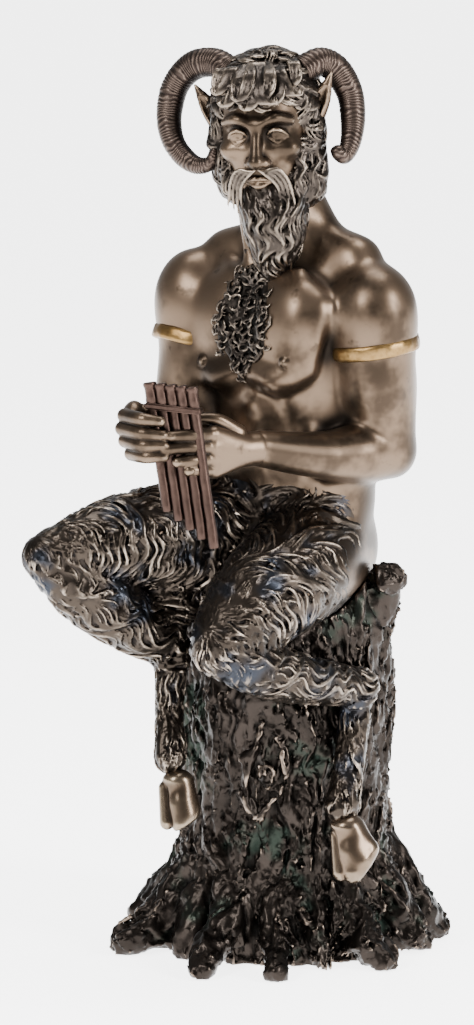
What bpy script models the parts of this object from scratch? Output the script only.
"""A small cast statue: the god Pan sits on a tree stump and holds his pan pipes.

Metres, +Z up, the front towards -Y. The origin is the middle of the stump's flat underside.
The figure is modelled as clay: round limbs and balls are fused by a voxel remesh, smoothed, given
locks of hair and fur, fused again and thinned. Its pose is written in design millimetres, measured
from the origin at the real size, and it stays seated when the stump's height changes.
"""

import math
import random

import bmesh
import bpy
from mathutils import Matrix, Vector
from mathutils.bvhtree import BVHTree

MM = 0.001

# Figure
FIGURE_HEIGHT = 0.222      # lower hoof to the top of the horns
DESIGN_HEIGHT = 222.0      # the same height in design millimetres
DESIGN_SEAT = 97.0         # height of the seat in design millimetres
BODY_VOXEL = 0.0011
SKIN_VOXEL = 0.0008
BODY_STROKES = 10          # smoothing passes over the fused body
FIGURE_TRIANGLES = 5300

# Stump
STUMP_HEIGHT = 0.097       # floor to the seat
STUMP_RADIUS = 0.0300      # at its waist
STUMP_SIDE = 0.0010        # the trunk's axis stands this far to his left of the origin
STUMP_SETBACK = 0.0060     # and this far behind it
ROOT_REACH = 0.0500        # from the stump's axis to the tips of the mean root
ROOT_THICKNESS = 0.0048    # radius of the mean root
BARK_DEPTH = 0.0012        # how far the bark's ridges stand out from the wood
STUMP_VOXEL = 0.0012
STUMP_TRIANGLES = 1900
SEAT_TRIANGLES = 1500
BARK_RIDGES = 26

# Pan pipes
PIPE_COUNT = 5
PIPE_RADIUS = 0.00145
PIPE_PITCH = 0.00275
PIPE_BORE = 0.0008
PIPE_BORE_DEPTH = 0.0040
PIPE_RIM = 0.0002          # how far the mouth's rim stands out
PIPE_RIM_HEIGHT = 0.0012
SHORTEST_PIPE = 0.0340
PIPE_STEP = 0.0021         # each pipe is this much longer than the last
MOUTH_STEP = 0.00065       # each mouth is this much lower than the last, and the binding slants with them
PIPE_SIDES = 10
BINDING_DROP = 0.0062      # from the mouths to the binding's middle
BINDING_HEIGHT = 0.0017
BINDING_PROUD = 0.0007     # how far the binding stands out from the pipes

# Armbands
BAND_INNER_RADIUS = 0.0106
BAND_THICKNESS = 0.0015
BAND_WIDTH = 0.0040
BAND_STEPS = 22

# Fits
GAP = 0.0003               # between pieces that touch
SEAT_ALLOWANCE = 0.0013    # the seat's hollow is this much wider than the figure's bare body

UNIT = FIGURE_HEIGHT / DESIGN_HEIGHT

BRONZE = (0.36, 0.27, 0.19)
BARK_BRONZE = (0.12, 0.09, 0.07)
COPPER_BRONZE = (0.36, 0.19, 0.14)
GILT = (0.72, 0.42, 0.11)


def at(x, y, z):
    """A point of the figure, from design millimetres."""
    return Vector((x * UNIT, y * UNIT, (z - DESIGN_SEAT) * UNIT + STUMP_HEIGHT))


def frame_at(origin, yaw=0.0, nod=0.0, lean=0.0):
    """A turned frame. At zero it faces -Y; nod tips it forward and lean raises its left side."""
    turn = Matrix.Rotation(math.radians(yaw), 4, "Z") @ Matrix.Rotation(math.radians(nod), 4, "X")
    return Matrix.Translation(origin) @ turn @ Matrix.Rotation(math.radians(-lean), 4, "Y")


def on(frame, left, front, up):
    """A point in a frame, from design millimetres to the figure's left, front and top."""
    return frame @ (Vector((left, -front, up)) * UNIT)


TORSO = frame_at(at(1.0, 1.0, 105.0), yaw=-32.0)
CHEST = frame_at(at(-0.5, 0.0, 105.0), yaw=-42.0)
HEAD = frame_at(at(-4.5, -5.0, 224.5), yaw=-12.0, nod=7.0, lean=3.0)


# Scene helpers

def clear_scene():
    for obj in list(bpy.data.objects):
        bpy.data.objects.remove(obj)


def collection(name):
    made = bpy.data.collections.new(name)
    bpy.context.scene.collection.children.link(made)
    return made


def material(name, colour, roughness):
    made = bpy.data.materials.new(name)
    made.use_nodes = True
    shader = made.node_tree.nodes["Principled BSDF"]
    shader.inputs["Base Color"].default_value = (*colour, 1.0)
    shader.inputs["Metallic"].default_value = 0.85
    shader.inputs["Roughness"].default_value = roughness
    return made


def place_mesh(name, mesh, home):
    obj = bpy.data.objects.new(name, mesh)
    home.objects.link(obj)
    return obj


def evaluated_mesh(obj):
    """The object's mesh with its modifiers applied, in world space. The object is removed."""
    bpy.context.view_layer.update()
    graph = bpy.context.evaluated_depsgraph_get()
    mesh = bpy.data.meshes.new_from_object(obj.evaluated_get(graph))
    mesh.transform(obj.matrix_world)
    bpy.data.objects.remove(obj)
    return mesh


def joined(meshes):
    """One mesh that holds all of these, still as separate shells."""
    work = bmesh.new()
    for mesh in meshes:
        work.from_mesh(mesh)
    bmesh.ops.remove_doubles(work, verts=work.verts, dist=1e-7)
    made = bpy.data.meshes.new("joined")
    work.to_mesh(made)
    work.free()
    return made


# Clay

class Clay:
    """Round limbs and balls that overlap and will be fused into one body."""

    def __init__(self, grow=0.0):
        self.grow = grow
        self.limbs = []
        self.balls = []

    def ball(self, centre, radii, turn=None):
        size = [radius * UNIT + self.grow for radius in radii]
        turn = turn.to_3x3().to_4x4() if turn else Matrix.Identity(4)
        self.balls.append(Matrix.Translation(centre) @ turn @ Matrix.Diagonal((*size, 1.0)))

    def limb(self, points, radii, ends=True):
        """A tapering tube along a smooth line, with round ends."""
        self.limbs.append((points, [radius * UNIT + self.grow for radius in radii]))
        if ends:
            for point, radius in ((points[0], radii[0]), (points[-1], radii[-1])):
                self.ball(point, (radius,) * 3)

    def mesh(self):
        tubes = bpy.data.curves.new("limbs", "CURVE")
        tubes.dimensions = "3D"
        tubes.bevel_depth = MM
        tubes.bevel_resolution = 4
        tubes.resolution_u = 6
        tubes.use_fill_caps = True
        for points, radii in self.limbs:
            spline = tubes.splines.new("BEZIER")
            spline.bezier_points.add(len(points) - 1)
            for knot, point, radius in zip(spline.bezier_points, points, radii):
                knot.co = point
                knot.radius = radius / MM
                knot.handle_left_type = knot.handle_right_type = "AUTO"
        line = place_mesh("limbs", tubes, bpy.context.scene.collection)
        return joined([evaluated_mesh(line)] + [round_ball(place) for place in self.balls])


def round_ball(place):
    """A ball of radius 1, put in this place and stretched by it."""
    work = bmesh.new()
    bmesh.ops.create_uvsphere(work, u_segments=20, v_segments=14, radius=1.0, matrix=place)
    mesh = bpy.data.meshes.new("ball")
    work.to_mesh(mesh)
    work.free()
    return mesh


def fused(meshes, voxel, strokes):
    """The shells fused into one skin by a voxel remesh, then smoothed."""
    obj = place_mesh("clay", joined(meshes), bpy.context.scene.collection)
    remesh = obj.modifiers.new("fuse", "REMESH")
    remesh.mode = "VOXEL"
    remesh.voxel_size = voxel
    smooth = obj.modifiers.new("smooth", "SMOOTH")
    smooth.factor = 0.5
    smooth.iterations = strokes
    return evaluated_mesh(obj)


def thinned(mesh, triangles):
    """The mesh collapsed to about this many triangles, its largest body only."""
    obj = place_mesh("thin", mesh, bpy.context.scene.collection)
    mesh.calc_loop_triangles()
    thin = obj.modifiers.new("thin", "DECIMATE")
    thin.ratio = triangles / len(mesh.loop_triangles)
    thin.use_collapse_triangulate = True
    return largest_body(evaluated_mesh(obj))


def largest_body(mesh):
    work = bmesh.new()
    work.from_mesh(mesh)
    left = set(work.verts)
    bodies = []
    while left:
        body = grow_from(left.pop())
        left -= body
        bodies.append(body)
    bodies.sort(key=len)
    for body in bodies[:-1]:
        bmesh.ops.delete(work, geom=list(body), context="VERTS")
    work.to_mesh(mesh)
    work.free()
    return mesh


def grow_from(vert):
    """Every vertex joined to this one by edges."""
    body = {vert}
    edge_of_body = [vert]
    while edge_of_body:
        for edge in edge_of_body.pop().link_edges:
            for other in edge.verts:
                if other not in body:
                    body.add(other)
                    edge_of_body.append(other)
    return body


class Surface:
    """A finished skin that locks of hair can be laid on."""

    def __init__(self, mesh):
        self.tree = BVHTree.FromPolygons(
            [vert.co for vert in mesh.vertices], [face.vertices for face in mesh.polygons])

    def near(self, point):
        place, normal, _, _ = self.tree.find_nearest(point)
        return place, normal

    def lock(self, start, heading, length, sway, phase, sink, steps=7):
        """Points of one wavy lock that runs over the skin along heading."""
        place, normal = self.near(start)
        points = []
        for step in range(steps + 1):
            points.append(place - normal * sink)
            along = (heading - normal * heading.dot(normal)).normalized()
            side = normal.cross(along)
            turn = sway * math.cos(math.tau * step / steps + phase)
            place, normal = self.near(place + (along + side * turn) * (length / steps))
        return points


def lock_radii(width, steps=7):
    """A lock is fullest near its root and ends in a point."""
    shares = [step / steps for step in range(steps + 1)]
    return [width * min(1.0, 0.45 + 3.0 * share) * (1.0 - share) ** 0.6 + 0.12 for share in shares]


# The bare body

def model_torso(clay):
    for centre, radii in (((0, 0, 8), (19.5, 14.5, 16)),
                          ((0, 3, 29), (17.5, 12.5, 22)),
                          ((0, 0.5, 57), (21.5, 15, 24))):
        clay.ball(on(TORSO, *centre), radii, TORSO)
    clay.limb([on(TORSO, -20, -2, 73), on(TORSO, 0, -3, 77), on(TORSO, 20, -2, 73)], [8.5, 9, 8.5])
    clay.limb([on(TORSO, 0, -3, 80), on(TORSO, -0.5, 0, 96), on(HEAD, 0, -5, -8)], [10, 9, 9.5])
    for side in (-1, 1):
        model_torso_half(clay, side)


def model_torso_half(clay, side):
    clay.ball(on(TORSO, side * 16.5, -4, 50), (8, 10, 20), TORSO)
    clay.ball(on(CHEST, side * 10.8, 10.2, 63), (12.4, 5.6, 12), CHEST)
    clay.ball(on(TORSO, side * 17.6, 1.5, 20), (9.4, 12.5, 14), TORSO)
    clay.ball(on(TORSO, side * 10.5, -5, 7), (12, 13, 15), TORSO)
    pectoral = [on(CHEST, side * 4, 12.8, 54), on(CHEST, side * 10, 13, 52.5), on(CHEST, side * 17, 9.5, 56)]
    clay.limb(pectoral, [3.8, 4.2, 3.8])
    trapezius = [on(TORSO, side * 3, -4, 96), on(TORSO, side * 10, -4, 86.8), on(TORSO, side * 20, -3, 83)]
    clay.limb(trapezius, [6.5, 6.8, 7.2])
    spine = [on(TORSO, side * 5.5, -10.5, 12), on(TORSO, side * 6, -8.5, 40), on(TORSO, side * 7, -9, 66)]
    clay.limb(spine, [4.5, 5.5, 6])


# Upper arms and forearms: centre lines from shoulder to elbow and elbow to wrist
LEFT_UPPER_ARM = [at(23.8, -13, 176), at(24.4, -13, 162), at(26.4, -12, 148), at(28.5, -11, 138.5)]
RIGHT_UPPER_ARM = [at(-23, 13.5, 176), at(-23.6, 12, 160), at(-26, 9, 147), at(-28, 5, 139)]


def model_arms(clay):
    clay.ball(at(24.6, -13.5, 173.5), (11, 11.5, 14.5))
    clay.ball(at(24.3, -16.5, 157), (8.5, 7.5, 13))
    clay.limb(LEFT_UPPER_ARM, [10, 10.8, 9.2, 7.2])
    forearm = [at(28.8, -10.5, 136.8), at(20, -17, 137), at(6, -26, 138.6), at(-7, -33, 141.2)]
    clay.limb(forearm, [6.9, 7.3, 6.1, 5.0])
    clay.ball(at(-24.2, 13.5, 175.2), (10.5, 11, 14.5))
    clay.limb(RIGHT_UPPER_ARM, [9.8, 10.2, 9, 7.2])
    forearm = [at(-28, 4, 139), at(-31, -8, 141), at(-35.4, -24, 146), at(-37.4, -34, 148.6)]
    clay.limb(forearm, [7, 7.3, 5.4, 4.2])


# Legs: centre lines from hip to knee, knee to hock and hock to fetlock
LEFT_THIGH = [at(10.5, -3, 109), at(4, -20, 107), at(-9, -38, 99.5), at(-17.5, -49, 92.5)]
LEFT_SHANK = [at(-17.5, -49, 88.5), at(-7, -43, 84), at(8, -31, 78.5), at(20.8, -19, 74.5)]
LEFT_CANNON = [at(20.8, -18.5, 75), at(18.4, -22.5, 60), at(16.2, -27.5, 46)]
RIGHT_THIGH = [at(-10, 4, 107.5), at(-28, -10, 114), at(-46, -23, 115), at(-63.3, -32.5, 113.7)]
RIGHT_SHANK = [at(-64, -33, 111.5), at(-53, -28, 102), at(-40, -20, 92), at(-30, -13, 83.5)]
RIGHT_CANNON = [at(-29.5, -13, 83), at(-30.6, -19, 68), at(-30.2, -25, 56.5)]


def model_legs(clay):
    clay.limb(LEFT_THIGH, [14.5, 15.3, 12.5, 7.5])
    clay.ball(at(-18.3, -50.5, 91), (5.6,) * 3)
    clay.limb(LEFT_SHANK, [5.6, 7.2, 6.4, 4.8])
    clay.limb(LEFT_CANNON, [4.8, 4.6, 4.9])
    clay.ball(at(15.8, -29, 44), (5.2,) * 3)
    clay.limb(RIGHT_THIGH, [15, 14.3, 11.3, 5.4])
    clay.limb(RIGHT_SHANK, [5.2, 8.6, 8.2, 5.2])
    clay.ball(at(-31, -10, 97), (10, 10, 9))
    clay.limb(RIGHT_CANNON, [4.8, 4.2, 4.9])


def bare_body(grow=0.0):
    clay = Clay(grow)
    model_torso(clay)
    model_arms(clay)
    model_legs(clay)
    return fused([clay.mesh()], BODY_VOXEL, BODY_STROKES)


# Head, hands and hooves

RIGHT_HORN = [(-9, -3, 13.5), (-14, -6, 16), (-20.6, -8, 15), (-25.8, -8, 10), (-27.7, -6, 3),
              (-26.8, -3, -3.2), (-23.6, 0, -7.6), (-19.2, 3, -9.9), (-15, 5, -9.0), (-13.2, 5, -4.9)]
LEFT_HORN = [(10, -3, 13.2), (14.4, -6.4, 15), (18.2, -8.6, 12.4), (21.3, -8.8, 6.2), (22.2, -6.6, -0.3),
             (22, -3, -6), (20.7, 0.2, -9.2), (19.3, 1.5, -8.2), (19, 1.9, -6.2)]
HORN_GIRTH = 4.0           # radius of a horn at its base, in design millimetres
HORN_RINGS = 17            # rings of growth that stand out along each horn
HORN_RING_PROUD = 0.10     # share of the horn's girth


def horn_line(route, girth, samples):
    """The horn's centre line and its ringed radii, from a coarse route."""
    points = []
    radii = []
    for sample in range(samples):
        share = sample / (samples - 1)
        place = share * (len(route) - 1)
        knot = min(int(place), len(route) - 2)
        before, start, end, after = (Vector(route[min(max(knot + step, 0), len(route) - 1)])
                                     for step in (-1, 0, 1, 2))
        part = place - knot
        curve = (2 * start + (end - before) * part + (2 * before - 5 * start + 4 * end - after) * part ** 2
                 + (3 * start - before - 3 * end + after) * part ** 3) / 2
        points.append(on(HEAD, *curve))
        ring = 1.0 + HORN_RING_PROUD * math.cos(math.tau * HORN_RINGS * share)
        radii.append(girth(share) * ring)
    return points, radii


def model_head(clay):
    for centre, radii in (((0, -3, 5), (13.2, 16, 14.2)),
                          ((0, 4, -6), (10.8, 11, 14)),
                          ((0, -3.4, 7), (14.4, 16.6, 12.8))):
        clay.ball(on(HEAD, *centre), radii, HEAD)
    clay.limb([on(HEAD, -8.6, 11.4, 3.6), on(HEAD, 0, 13.6, 3), on(HEAD, 8.6, 11.4, 3.6)], [1.9, 2, 1.9])
    clay.limb([on(HEAD, 0, 13.4, 2), on(HEAD, 0, 16.2, -2.4), on(HEAD, 0, 17.2, -5.4)], [1.4, 1.7, 2.1])
    nape = [on(HEAD, 0, -12, 4), on(HEAD, 0, -11, -8), on(HEAD, 0, -8, -18)]
    clay.limb(nape, [8, 9, 7])
    clay.limb([on(HEAD, 1, 8, -14), on(HEAD, 2.6, 10, -22), on(HEAD, 2.4, 11.5, -31), on(HEAD, 0.2, 12, -40)],
              [9.4, 9.6, 7.4, 2.8])
    for side in (-1, 1):
        clay.ball(on(HEAD, side * 2.2, 14.6, -6), (1.7,) * 3)
        clay.ball(on(HEAD, side * 5.3, 10.3, 0), (2.9,) * 3)
        clay.ball(on(HEAD, side * 7.6, 9.4, -4.2), (3.6,) * 3)
        hair = [on(HEAD, side * 11.4, 1, 5), on(HEAD, side * 11.4, 1, -6),
                on(HEAD, side * 10.2 + 0.8, 2, -16 - side)]
        clay.limb(hair, [4.2, 4.3, 4.6])
        moustache = [on(HEAD, side * 0.8, 15.6, -8.4), on(HEAD, side * 4.6, 14.2, -9.6),
                     on(HEAD, side * 8, 10.4, -14.5)]
        clay.limb(moustache, [1.4, 1.9, 0.9])
    clay.limb([on(HEAD, -3, 14.2, -12), on(HEAD, 0, 15, -12.2), on(HEAD, 3, 14.2, -12)], [0.9, 1.4, 0.9])
    clay.limb([on(HEAD, -12.5, -1, -1), on(HEAD, -16, -2, 5), on(HEAD, -19.6, -3, 10.5)], [3.2, 2.5, 0.6])
    clay.limb([on(HEAD, 13, -1, 0), on(HEAD, 15.3, -1, 6), on(HEAD, 18.2, -1.5, 12.5)], [3.2, 2.5, 0.6])
    for route, tip in ((RIGHT_HORN, 1.1), (LEFT_HORN, 1.8)):
        waste = HORN_GIRTH - 0.9 - tip
        points, radii = horn_line(route, lambda share: HORN_GIRTH - 0.9 * share - waste * share ** 4, 86)
        clay.limb(points, radii)


FINGER_RADII = [1.9, 1.6, 1.3]
# Knuckle, middle joint and tip of each finger
RIGHT_FINGERS = [[(-41.6, -42, 151.0), (-37, -48, 150.8), (-32.2, -48.2, 150.2)],
                 [(-42.2, -42, 147.6), (-37, -48.2, 147.2), (-31.4, -48.4, 146.6)],
                 [(-41.4, -42, 144.4), (-36.8, -48.2, 144.0), (-31.3, -48.4, 143.9)],
                 [(-39.8, -42, 141.0), (-36.0, -48, 141.0), (-31.2, -48.3, 141.1)]]
LEFT_FINGERS = [[(-18.4, -42, 146.0), (-23.4, -46.2, 146.4), (-29.4, -48, 146.3)],
                [(-18.6, -42.4, 142.8), (-24.2, -46.6, 143.3), (-31.1, -48.2, 142.9)],
                [(-18.8, -42.4, 139.6), (-23.6, -46.6, 139.8), (-27.7, -48.1, 139.6)],
                [(-18.4, -41.6, 136.6), (-21.8, -45.4, 137.0), (-24.8, -47.6, 137.3)]]
LEFT_WRIST = (-8.0, -34.0, 141.2)
THUMB_RADII = [2.2, 1.8, 1.4]


def model_hands(clay):
    clay.ball(at(-39.2, -38.5, 147.5), (4.2, 5.6, 7.2))
    for knuckle, _, _ in LEFT_FINGERS:
        clay.limb([at(*LEFT_WRIST), at(*knuckle)], [4.4, 2.2])
    for route in RIGHT_FINGERS + LEFT_FINGERS:
        clay.limb([at(*point) for point in route], FINGER_RADII)
    clay.limb([at(-38, -38, 151), at(-32, -39.6, 153), at(-27.5, -40.2, 153.2)], THUMB_RADII)
    clay.limb([at(-12, -37, 146), at(-17.5, -39.4, 149.5), at(-23, -40.4, 150)], THUMB_RADII)


HOOVES = (((16.8, -31, 39.5), (18.2, -34, 27.6), 5.0),
          ((-29.8, -27, 52.0), (-28.4, -30, 41.6), 4.6))


def model_hooves(clay):
    """Each foot ends in two toes, side by side, cut off square below."""
    for crown, toe, girth in HOOVES:
        for side in (-0.47, 0.47):
            spread = Vector((side * girth, side, 0)) * UNIT
            clay.limb([at(*crown) + spread, at(*toe) + spread * 1.15], [girth * 0.70, girth * 0.82])


# Locks of hair and fur

FUR_LENGTH = 15.0
FUR_WIDTH = 2.1
FUR_SWAY = 0.5
FUR_SINK = 0.7             # how deep a lock's centre lies under the skin
FUR_TOP = 128.0            # the fur ends at this height on the hips, in design millimetres


def point_along(line, share):
    place = share * (len(line) - 1)
    knot = min(int(place), len(line) - 2)
    return line[knot].lerp(line[knot + 1], place - knot)


def fur_on(clay, skin, line, angles, rows, fall, dice, length=FUR_LENGTH, width=FUR_WIDTH):
    """Rows of locks down a limb. Angles are degrees round it from its upper side, towards his left."""
    along = (line[-1] - line[0]).normalized()
    upper = (Vector((0, -0.2, 1)) - along * along.z).normalized()
    side = along.cross(upper)
    for row in range(rows):
        for column, angle in enumerate(angles):
            share = (row + 0.5 * (column % 2) + 0.3) / rows
            turn = math.radians(angle + dice.uniform(-6, 6))
            outward = upper * math.cos(turn) + side * math.sin(turn)
            start = point_along(line, min(share, 1.0)) + outward * 20 * UNIT
            heading = along * (1.0 - fall) + Vector((0, 0, -1)) * fall
            points = skin.lock(start, heading, length * UNIT * dice.uniform(0.8, 1.2), FUR_SWAY,
                               dice.random() * math.tau, FUR_SINK * UNIT)
            if points[0].z < at(0, 0, FUR_TOP).z and not near_stump(points[3]):
                clay.limb(points, lock_radii(width), ends=False)


def near_stump(point):
    """True where a lock would run inside the stump or into its seat."""
    axis = Vector((*STUMP_AXIS, point.z))
    return (point - axis).length < 1.07 * STUMP_RADIUS and point.z < 1.04 * STUMP_HEIGHT


def model_fur(clay, skin):
    dice = random.Random(11)
    for thigh in (LEFT_THIGH, RIGHT_THIGH):
        fur_on(clay, skin, thigh, (-130, -95, -60, -25, 10, 45, 80, 115), 6, 0.75, dice)
    for shank in (LEFT_SHANK, RIGHT_SHANK):
        fur_on(clay, skin, shank, (-120, -70, -20, 30, 80, 130), 5, 0.1, dice, length=11.0, width=1.7)
    for cannon in (LEFT_CANNON, RIGHT_CANNON):
        fur_on(clay, skin, cannon, (-90, 0, 90, 180), 3, 0.5, dice, length=8.0, width=1.1)


def model_beard(clay, skin):
    """Long wavy locks from the cheeks and the lip down to the beard's point."""
    dice = random.Random(5)
    tiers = ((14, -15, 6), (11, -19, 9.5), (7, -14, 11.5), (13, -26, 6.5))
    for tier, (front, up, half_width) in enumerate(tiers):
        for column in range(7):
            across = half_width * (column / 3.0 - 1.0)
            start = on(HEAD, across, front - 0.04 * across ** 2, up)
            tip = on(HEAD, across * 0.25, 13, -43)
            length = (15 - tier) * UNIT
            points = skin.lock(start, tip - start, length, 0.4, dice.random() * math.tau, 0.1 * UNIT)
            clay.limb(points, lock_radii(1.7), ends=False)


def model_hair(clay, skin):
    """Curls in rings over the crown and down the nape, kept off the face."""
    dice = random.Random(3)
    rings = ((80, 3), (56, 8), (34, 11), (14, 12), (-8, 11), (-30, 9), (-52, 7))
    for ring, (height, count) in enumerate(rings):
        for curl in range(count):
            turn = math.tau * (curl + 0.5 * (ring % 2)) / count
            rise = math.radians(height)
            if ring > 2 and math.sin(turn) < -0.45:
                continue
            level = math.cos(rise)
            outward = HEAD.to_3x3() @ Vector((math.cos(turn) * level, math.sin(turn) * level, math.sin(rise)))
            start = on(HEAD, 0, -3, 5) + outward * 24 * UNIT
            heading = Vector((0, 0, -1.0)) + outward.cross(Vector((0, 0, 1))) * (0.8 if curl % 2 else -0.8)
            points = skin.lock(start, heading, 9.5 * UNIT, 1.1, dice.random() * 2.0, 0.2 * UNIT)
            clay.limb(points, lock_radii(2.0), ends=False)


def model_chest_hair(clay, skin):
    """A shield of short curls down the breastbone."""
    dice = random.Random(8)
    for row in range(6):
        half_width = 5.6 - 0.9 * abs(row - 2.2)
        for column in range(3):
            across = half_width * (column - 1) + dice.uniform(-0.6, 0.6)
            start = on(TORSO, across, 20, 80 - 4.6 * row)
            heading = Vector((0.7 * (column - 1), 0, -1))
            points = skin.lock(start, heading, 4.6 * UNIT, 1.3, dice.random() * math.tau, 0.0)
            clay.limb(points, lock_radii(1.3), ends=False)


def build_figure():
    """The whole figure as one thinned skin."""
    body = bare_body()
    head = Clay()
    model_head(head)
    skull = fused([head.mesh()], SKIN_VOXEL, 2)
    locks = Clay()
    model_fur(locks, Surface(body))
    model_beard(locks, Surface(skull))
    model_hair(locks, Surface(skull))
    model_chest_hair(locks, Surface(body))
    ends = Clay()
    model_hands(ends)
    model_hooves(ends)
    skin = fused([body, skull, locks.mesh(), ends.mesh()], SKIN_VOXEL, 1)
    return thinned(skin, FIGURE_TRIANGLES)


# Stump

STUMP_AXIS = (STUMP_SIDE, STUMP_SETBACK)
# Each root: direction in degrees, then reach and thickness as shares of ROOT_REACH and ROOT_THICKNESS
ROOTS = ((202, 1.06, 1.12), (222, 0.86, 0.96), (241, 1.14, 0.92), (264, 1.04, 0.71), (284, 0.86, 0.71),
         (302, 1.00, 1.00), (332, 0.90, 1.08), (356, 0.93, 1.33), (32, 0.88, 1.08), (75, 0.84, 1.08),
         (120, 0.84, 1.08), (160, 0.92, 1.08))
BELOW_FLOOR = 0.03         # clay under the floor, as a share of the height, cut off flat at the end


def from_axis(turn, reach, height):
    """A point at this direction in radians, distance from the stump's axis and height."""
    return Vector((STUMP_AXIS[0] + reach * math.cos(turn), STUMP_AXIS[1] + reach * math.sin(turn), height))


def flare(height):
    """The trunk's radius at a height: a little wider above its waist and spreading to the roots."""
    rise = height / STUMP_HEIGHT
    waist = 0.05 * math.exp(-40 * (rise - 0.36) ** 2)
    return STUMP_RADIUS * (1.0 + 0.20 * math.exp(-6.0 * max(rise, 0.0)) - waist)


def model_trunk(clay):
    heights = [STUMP_HEIGHT * share for share in (-BELOW_FLOOR, 0.12, 0.28, 0.45, 0.65, 0.80, 0.93)]
    core = [from_axis(0, 0, height) for height in heights]
    clay.limb(core, [(flare(height) - BARK_DEPTH) / UNIT for height in heights], ends=False)
    crown = STUMP_HEIGHT * 0.093
    wood = (STUMP_RADIUS - 0.8 * BARK_DEPTH) / UNIT
    clay.ball(from_axis(0, 0, STUMP_HEIGHT - crown), (wood, wood, crown / UNIT))
    skirt = 0.70 * ROOT_REACH / UNIT
    clay.ball(from_axis(0, 0, 0), (skirt, skirt, 1.4 * ROOT_THICKNESS / UNIT))


def model_bark(clay, dice):
    """Upright ridges of bark that wander round the trunk and run out into the roots."""
    for ridge in range(BARK_RIDGES):
        turn = math.tau * (ridge + 0.3 * dice.random()) / BARK_RIDGES
        points = []
        for share in (0.02, 0.2, 0.4, 0.6, 0.8, 0.94):
            height = STUMP_HEIGHT * share
            reach = flare(height) - 1.3 * BARK_DEPTH
            points.append(from_axis(turn + dice.uniform(-0.06, 0.06), reach, height))
        thick = dice.uniform(1.7, 2.5) * BARK_DEPTH / UNIT
        clay.limb(points, [thick, thick, thick * 0.8, thick, thick * 0.9, thick * 0.5])


def model_roots(clay):
    for degrees, share, thickness in ROOTS:
        turn = math.radians(degrees)
        reach = share * ROOT_REACH
        thick = thickness * ROOT_THICKNESS
        points = [from_axis(turn, STUMP_RADIUS * 0.75, STUMP_HEIGHT * 0.26),
                  from_axis(turn, STUMP_RADIUS + (reach - STUMP_RADIUS) * 0.15, STUMP_HEIGHT * 0.11),
                  from_axis(turn + 0.05, reach - thick, 0.5 * thick)]
        clay.limb(points, [thick * share / UNIT for share in (1.3, 1.25, 0.85)])


def model_knots(clay):
    """A branch stub at the upper right, and a ringed knot low on the front."""
    stub = [from_axis(-0.40, STUMP_RADIUS * 0.66, STUMP_HEIGHT * 0.897),
            from_axis(-0.40, STUMP_RADIUS * 0.88, STUMP_HEIGHT * 0.979),
            from_axis(-0.40, STUMP_RADIUS * 1.00, STUMP_HEIGHT * 1.026)]
    clay.limb(stub, [STUMP_RADIUS * share / UNIT for share in (0.267, 0.213, 0.173)])
    knot_height = STUMP_HEIGHT * 0.47
    rim = []
    for step in range(13):
        turn = math.tau * step / 12
        height = knot_height + STUMP_RADIUS * 0.267 * math.sin(turn)
        rim.append(from_axis(-1.72 + 0.13 * math.cos(turn), flare(height) + 0.15 * BARK_DEPTH, height))
    clay.limb(rim, [1.25 * BARK_DEPTH / UNIT] * len(rim))


def build_stump():
    """The stump, hollowed where the figure sits and cut off flat at the floor."""
    clay = Clay()
    model_trunk(clay)
    model_bark(clay, random.Random(21))
    model_roots(clay)
    model_knots(clay)
    return thinned(fused([clay.mesh()], STUMP_VOXEL, 1), STUMP_TRIANGLES)


def build_seat_cutter():
    return thinned(bare_body(SEAT_ALLOWANCE), SEAT_TRIANGLES)


# Pan pipes

PIPES_TOP = at(-29.6, -44.5, 159.4)
PIPES_FOOT = at(-24.4, -46.5, 122.2)


def pipes_frame():
    """The pipes' own frame: X across them towards his left, -Y to the front, +Z out of the mouths."""
    up = (PIPES_TOP - PIPES_FOOT).normalized()
    back = up.cross(Vector((0.97, -0.22, 0))).normalized()
    across = back.cross(up)
    return Matrix.Translation(PIPES_TOP) @ Matrix((across, back, up)).transposed().to_4x4()


def cylinder(work, radius, low, high, centre, sides=PIPE_SIDES):
    place = Matrix.Translation((centre, 0, (low + high) / 2))
    bmesh.ops.create_cone(work, cap_ends=True, segments=sides, radius1=radius, radius2=radius,
                          depth=high - low, matrix=place)


def primitive(name, home, draw):
    """An object in the pipes' frame whose mesh draw() fills."""
    work = bmesh.new()
    draw(work)
    mesh = bpy.data.meshes.new(name)
    work.to_mesh(mesh)
    work.free()
    obj = place_mesh(name, mesh, home)
    obj.matrix_world = pipes_frame()
    return obj


def pipe_centre(index):
    return (index - (PIPE_COUNT - 1) / 2) * PIPE_PITCH


def mouth_height(index):
    return (PIPE_COUNT - 1) / 2 * MOUTH_STEP - index * MOUTH_STEP


def pipe_foot(index):
    return mouth_height(index) - SHORTEST_PIPE - index * PIPE_STEP


def draw_tube(work, index):
    top = mouth_height(index) - 0.5 * PIPE_RIM_HEIGHT
    cylinder(work, PIPE_RADIUS, pipe_foot(index), top, pipe_centre(index))


def draw_rim(work, index):
    mouth = mouth_height(index)
    cylinder(work, PIPE_RADIUS + PIPE_RIM, mouth - PIPE_RIM_HEIGHT, mouth, pipe_centre(index))


def draw_bores(work):
    for index in range(PIPE_COUNT):
        foot = mouth_height(index) - PIPE_BORE_DEPTH
        top = mouth_height(index) + PIPE_RIM_HEIGHT
        cylinder(work, PIPE_BORE, foot, top, pipe_centre(index), sides=6)


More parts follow.
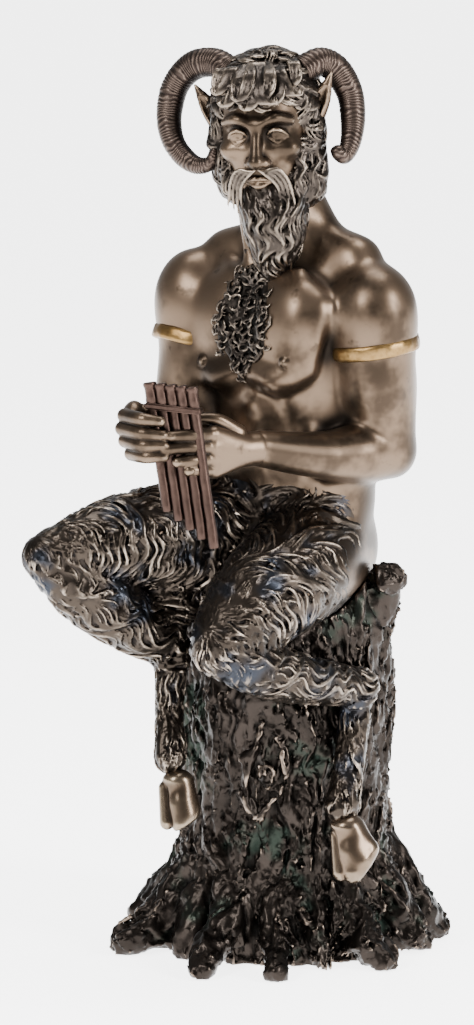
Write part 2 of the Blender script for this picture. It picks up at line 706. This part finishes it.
def draw_room(work):
    """A flat wedge that holds all the pipes with a gap round them."""
    half_width = PIPE_PITCH * (PIPE_COUNT - 1) / 2 + PIPE_RADIUS + PIPE_RIM + GAP
    half_depth = PIPE_RADIUS + PIPE_RIM + GAP
    slant = (PIPE_STEP + MOUTH_STEP) / PIPE_PITCH * half_width
    foot = (pipe_foot(0) + pipe_foot(PIPE_COUNT - 1)) / 2 - GAP - PIPE_STEP
    bmesh.ops.create_cube(work, size=1.0)
    for vert in work.verts:
        low = foot - math.copysign(slant, vert.co.x)
        vert.co = (math.copysign(half_width, vert.co.x), math.copysign(half_depth, vert.co.y),
                   mouth_height(0) + GAP if vert.co.z > 0 else low)


def draw_binding(work, grow=0.0):
    width = PIPE_PITCH * (PIPE_COUNT - 1) + 2 * (PIPE_RADIUS + BINDING_PROUD + grow)
    depth = 2 * (PIPE_RADIUS + BINDING_PROUD + grow)
    size = Matrix.Diagonal((width, depth, BINDING_HEIGHT + 2 * grow, 1.0))
    slant = Matrix.Rotation(math.atan2(MOUTH_STEP, PIPE_PITCH), 4, "Y")
    bmesh.ops.create_cube(work, size=1.0, matrix=Matrix.Translation((0, 0, -BINDING_DROP)) @ slant @ size)


def boolean(obj, other, operation):
    cut = obj.modifiers.new(operation.lower() + " " + other.name, "BOOLEAN")
    cut.operation = operation
    cut.object = other
    return cut


def as_cutter(obj):
    obj.hide_render = True
    obj.display_type = "WIRE"
    return obj


def build_pipes(home, helpers):
    """The pipes joined to their binding, with a blind bore in each mouth, and the room they need."""
    pipes = primitive("pan_pipes", home, draw_binding)
    for index in range(PIPE_COUNT):
        tube = primitive(f"pipe_{index}", helpers, lambda work: draw_tube(work, index))
        rim = primitive(f"rim_{index}", helpers, lambda work: draw_rim(work, index))
        boolean(pipes, as_cutter(tube), "UNION")
        boolean(pipes, as_cutter(rim), "UNION")
    boolean(pipes, as_cutter(primitive("bores", helpers, draw_bores)), "DIFFERENCE")
    room = primitive("pipes_room", helpers, draw_room)
    binding_room = primitive("binding_room", helpers, lambda work: draw_binding(work, GAP))
    boolean(room, as_cutter(binding_room), "UNION")
    return pipes, as_cutter(room)


# Armbands

def ring(name, home, inner, outer, width, steps):
    """A turned ring round its own Z axis, with softened edges."""
    soft = 0.22 * (outer - inner)
    half = width / 2
    section = [(outer, half - soft), (outer, soft - half), (outer - soft, -half), (inner + soft, -half),
               (inner, soft - half), (inner, half - soft), (inner + soft, half), (outer - soft, half)]
    mesh = bpy.data.meshes.new(name)
    mesh.from_pydata([(radius, 0, height) for radius, height in section],
                     [(point, (point + 1) % len(section)) for point in range(len(section))], [])
    obj = place_mesh(name, mesh, home)
    screw = obj.modifiers.new("turn", "SCREW")
    screw.steps = screw.render_steps = steps
    screw.use_merge_vertices = True
    screw.merge_threshold = 1e-5
    return obj


def band_place(arm, share, lean):
    """On the arm's centre line, square to it and leaned sideways by some degrees."""
    start = point_along(arm, share)
    direction = (arm[0] - arm[2]).normalized()
    turn = Vector((0, 0, 1)).rotation_difference(direction).to_matrix().to_4x4()
    return Matrix.Translation(start) @ turn @ Matrix.Rotation(math.radians(lean), 4, "Y")


def build_bands(home, helpers):
    bands = []
    for name, arm, share, lean in (("armband_left", LEFT_UPPER_ARM, 0.243, -3.0),
                                   ("armband_right", RIGHT_UPPER_ARM, 0.245, 10.0)):
        outer = BAND_INNER_RADIUS + BAND_THICKNESS
        band = ring(name, home, BAND_INNER_RADIUS, outer, BAND_WIDTH, BAND_STEPS)
        inner = BAND_INNER_RADIUS - GAP
        room = ring(name + "_room", helpers, inner, outer + 3 * GAP, BAND_WIDTH + 2 * GAP, BAND_STEPS)
        band.matrix_world = room.matrix_world = band_place(arm, share, lean)
        bands.append((band, as_cutter(room)))
    return bands


# Assembly

def finish(obj, look):
    obj.data.materials.clear()
    obj.data.materials.append(look)
    obj.data.shade_smooth()
    obj.data.set_sharp_from_angle(angle=math.radians(40))


def main():
    clear_scene()
    home = collection("pan_statue")
    helpers = collection("helpers")
    helpers.hide_render = True

    figure = place_mesh("pan_figure", build_figure(), home)
    stump = place_mesh("tree_stump", build_stump(), home)
    seat = place_mesh("seat_cutter", build_seat_cutter(), helpers)
    floor = place_mesh("floor_cutter", bpy.data.meshes.new("floor_cutter"), helpers)
    work = bmesh.new()
    bmesh.ops.create_cube(work, size=1.0, matrix=Matrix.Translation((0, 0, -0.5)))
    work.to_mesh(floor.data)
    work.free()
    boolean(stump, as_cutter(seat), "DIFFERENCE")
    boolean(stump, as_cutter(floor), "DIFFERENCE")

    pipes, pipes_room = build_pipes(home, helpers)
    boolean(figure, pipes_room, "DIFFERENCE")
    gilt = material("gilt", GILT, 0.4)
    for band, band_room in build_bands(home, helpers):
        boolean(figure, band_room, "DIFFERENCE")
        finish(band, gilt)
    finish(figure, material("bronze", BRONZE, 0.35))
    finish(stump, material("bark_bronze", BARK_BRONZE, 0.5))
    finish(pipes, material("copper_bronze", COPPER_BRONZE, 0.45))


main()
